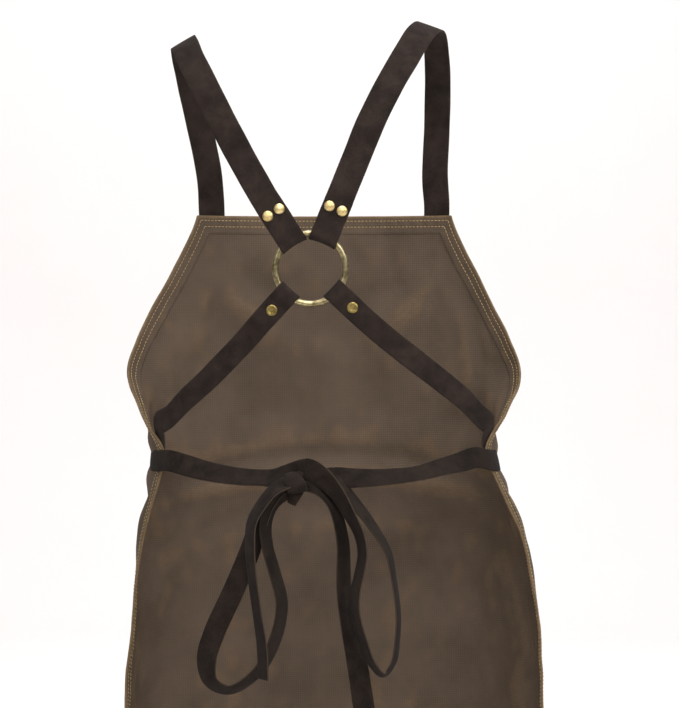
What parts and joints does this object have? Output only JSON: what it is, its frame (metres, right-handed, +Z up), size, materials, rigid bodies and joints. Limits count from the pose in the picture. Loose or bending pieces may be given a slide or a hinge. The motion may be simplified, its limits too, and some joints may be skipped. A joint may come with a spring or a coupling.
{
  "type": "canvas work apron with crossed back straps",
  "caption": "Canvas work apron in its worn form: bib and skirt panel, straps that meet at a riveted back ring, and waist ties knotted in a bow.",
  "frame": {"origin": "between the two shoulder straps, level with the tops of the shoulders, where the straps carry the apron", "axes": "+Z up, the back with the ring and bow faces -Y, +X to the right seen from behind"},
  "size_m": [0.4627, 0.3339, 1.0372],
  "materials": {
    "canvas": "waxed canvas, dull, with a fine weave",
    "strap_hide": "brushed hide, matt",
    "tie_hide": "brushed hide, matt",
    "aged_brass": "aged, satin",
    "brass": "polished, slightly worn"
  },
  "bodies": {
    "root": {"apron_panel": "canvas", "shoulder_strap_left": "strap_hide", "shoulder_strap_right": "strap_hide", "lower_strap_left": "strap_hide", "lower_strap_right": "strap_hide", "waist_tie_left": "tie_hide", "waist_tie_right": "tie_hide", "back_ring": "aged_brass", "rivet_upper_left_1": "brass", "rivet_upper_left_2": "brass", "rivet_upper_right_1": "brass", "rivet_upper_right_2": "brass", "rivet_lower_left": "brass", "rivet_lower_right": "brass"}
  },
  "joints": []
}
